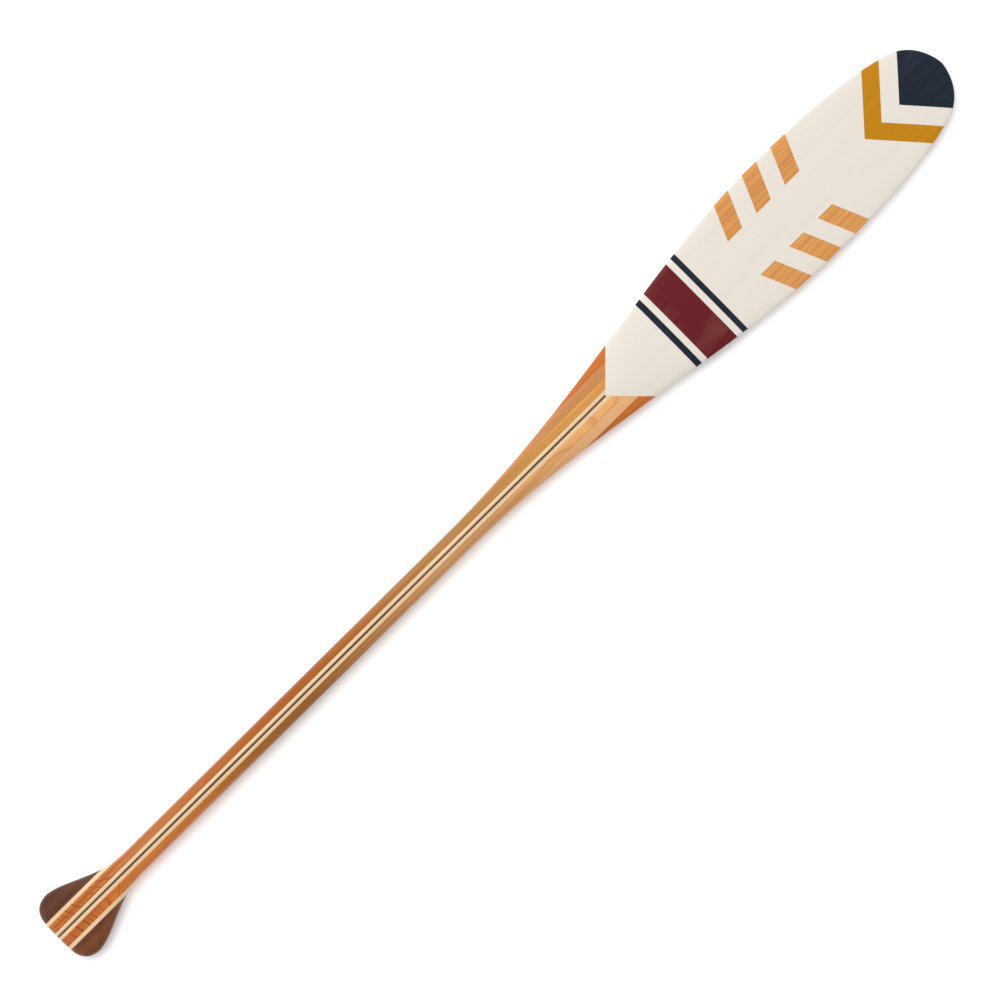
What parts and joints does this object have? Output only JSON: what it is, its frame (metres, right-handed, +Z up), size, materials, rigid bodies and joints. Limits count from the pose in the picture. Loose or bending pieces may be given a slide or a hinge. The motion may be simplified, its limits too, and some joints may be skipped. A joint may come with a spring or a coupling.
{
  "type": "canoe paddle",
  "caption": "Laminated wooden canoe paddle with a palm grip, an oval striped shaft and a long narrow round-tipped painted blade.",
  "frame": {"origin": "on the surface that the paddle lies on, under the middle of its length and width", "axes": "+X along the shaft from the grip towards the blade's tip, +Y across the blade, +Z up out of the blade's face"},
  "size_m": [1.448, 0.142, 0.0289],
  "materials": {
    "walnut": "satin",
    "maple": "satin",
    "shaft_cedar": "satin",
    "tan_cedar": "satin",
    "red_cedar": "satin",
    "cream_paint": "satin",
    "navy_paint": "satin",
    "burgundy_paint": "satin",
    "mustard_paint": "satin"
  },
  "bodies": {
    "root": {"core_strip": "walnut", "core_stripe_left": "maple", "core_stripe_right": "maple", "shaft_board_left": "shaft_cedar", "shaft_board_right": "shaft_cedar", "blade_strip_left": "tan_cedar", "blade_strip_right": "tan_cedar", "blade_panel_left": "red_cedar", "blade_panel_right": "red_cedar", "grip_stripe_left": "maple", "grip_stripe_right": "maple", "grip_wing_left": "walnut", "grip_wing_right": "walnut"}
  },
  "joints": []
}
